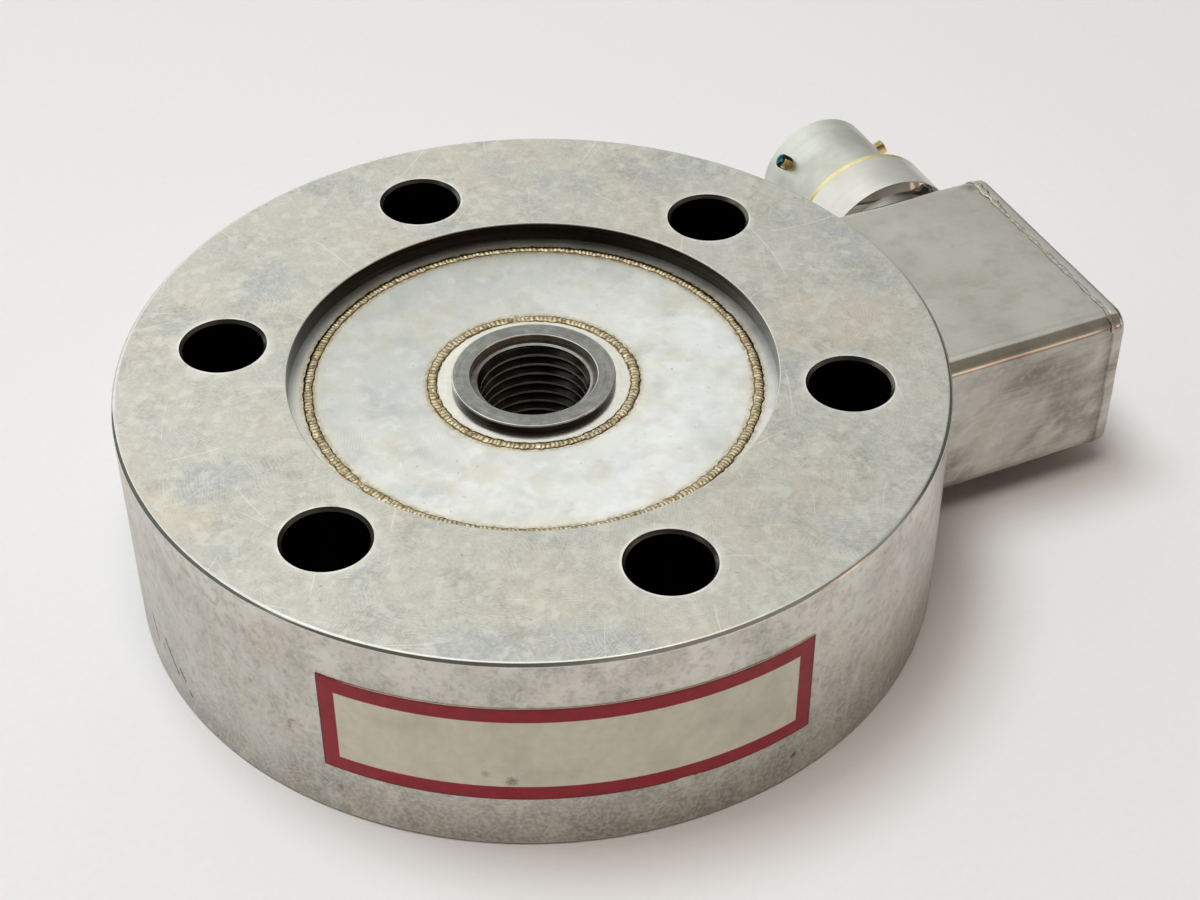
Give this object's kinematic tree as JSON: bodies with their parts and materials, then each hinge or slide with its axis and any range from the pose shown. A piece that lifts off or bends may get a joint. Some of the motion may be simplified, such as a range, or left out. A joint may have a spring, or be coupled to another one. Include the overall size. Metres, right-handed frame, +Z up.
{
  "type": "weighing load cell",
  "caption": "Low-profile round flange load cell of stainless steel with a drilled rim, a threaded hub, welded covers, and a side box that carries a round bayonet receptacle.",
  "frame": {"origin": "centre of the rim's lower face, on the axis of the hub's thread", "axes": "+Z up along the hub's axis, +X towards the connector box, +Y along the connector's axis"},
  "size_m": [0.1099, 0.089, 0.0254],
  "materials": {
    "body_steel": "lapped stainless steel, satin",
    "cover_steel": "fine stainless sheet, satin, heat tinted at its welds",
    "box_steel": "stainless tube, satin",
    "connector_steel": "turned stainless steel, satin",
    "shell_steel": "plated steel, matt",
    "braze": "bright braze metal",
    "pin_brass": "brass, satin",
    "contact_gold": "gold plated",
    "seal_glass": "dark sealing glass",
    "label_film": "printed film, satin",
    "gauge_film": "amber polyimide",
    "board_laminate": "glass laminate",
    "pad_foam": "adhesive foam",
    "resistor_body": "moulded chip",
    "wire_insulation": "fluoropolymer"
  },
  "bodies": {
    "root": {"bayonet_pin_1": "pin_brass", "bayonet_pin_2": "pin_brass", "bayonet_pin_3": "pin_brass", "board_pad": "pad_foam", "box_end_plate": "box_steel", "braze_ring": "braze", "bridge_lead_1": "wire_insulation", "bridge_lead_2": "wire_insulation", "bridge_lead_3": "wire_insulation", "bridge_lead_4": "wire_insulation", "compensation_board": "board_laminate", "connector_adapter": "connector_steel", "connector_box": "box_steel", "connector_lead_1": "wire_insulation", "connector_lead_2": "wire_insulation", "connector_lead_3": "wire_insulation", "connector_lead_4": "wire_insulation", "connector_lead_5": "wire_insulation", "connector_lead_6": "wire_insulation", "contact_pin_1": "contact_gold", "contact_pin_2": "contact_gold", "contact_pin_3": "contact_gold", "contact_pin_4": "contact_gold", "contact_pin_5": "contact_gold", "contact_pin_6": "contact_gold", "gauge_lead_1": "wire_insulation", "gauge_lead_2": "wire_insulation", "gauge_lead_3": "wire_insulation", "gauge_lead_4": "wire_insulation", "gauge_lead_5": "wire_insulation", "gauge_lead_6": "wire_insulation", "gauge_lead_7": "wire_insulation", "gauge_lead_8": "wire_insulation", "gauge_loom": "wire_insulation", "glass_seal": "seal_glass", "label": "label_film", "lower_cover": "cover_steel", "receptacle_shell": "shell_steel", "sensing_element": "body_steel", "strain_gauge_1": "gauge_film", "strain_gauge_2": "gauge_film", "strain_gauge_3": "gauge_film", "strain_gauge_4": "gauge_film", "strain_gauge_5": "gauge_film", "strain_gauge_6": "gauge_film", "strain_gauge_7": "gauge_film", "strain_gauge_8": "gauge_film", "terminal_strip": "board_laminate", "trim_resistor_1": "resistor_body", "trim_resistor_2": "resistor_body", "trim_resistor_3": "resistor_body", "trim_resistor_4": "resistor_body", "upper_cover": "cover_steel"}
  },
  "joints": []
}
